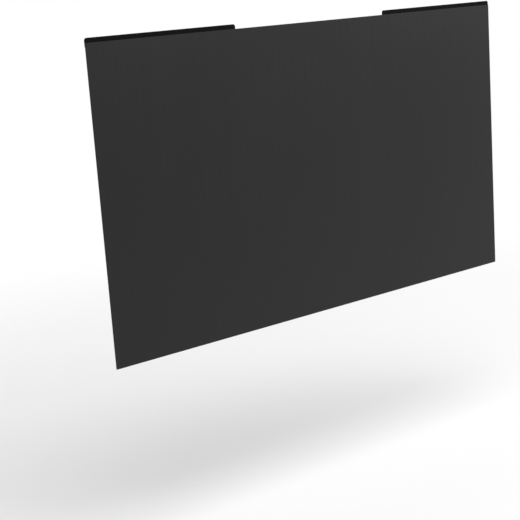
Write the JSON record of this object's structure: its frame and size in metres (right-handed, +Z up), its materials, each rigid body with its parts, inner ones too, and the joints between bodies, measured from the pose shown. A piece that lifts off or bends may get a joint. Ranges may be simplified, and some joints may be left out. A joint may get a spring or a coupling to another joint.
{
  "type": "monitor privacy filter",
  "caption": "Dark widescreen privacy filter sheet for a display, with flat magnetic strips lapped behind its top corners and standing above the sheet to grip the bezel.",
  "frame": {"origin": "middle of the sheet's bottom edge, on the plane of the strips' rear faces, which meet the display's bezel", "axes": "+X along the width to the right as the user sees it, +Y back towards the display, +Z up; the user looks at the -Y face"},
  "size_m": [0.531, 0.001, 0.3035],
  "materials": {
    "privacy_film": "satin anti-glare polymer film, almost black and nearly opaque from the side",
    "magnet_strip": "flexible magnet with a fine matt black skin",
    "bonding_tape": "thin double-sided acrylic tape"
  },
  "bodies": {
    "root": {"filter_sheet": "privacy_film", "left_magnetic_strip": "magnet_strip", "right_magnetic_strip": "magnet_strip", "left_bonding_tape": "bonding_tape", "right_bonding_tape": "bonding_tape"}
  },
  "joints": []
}
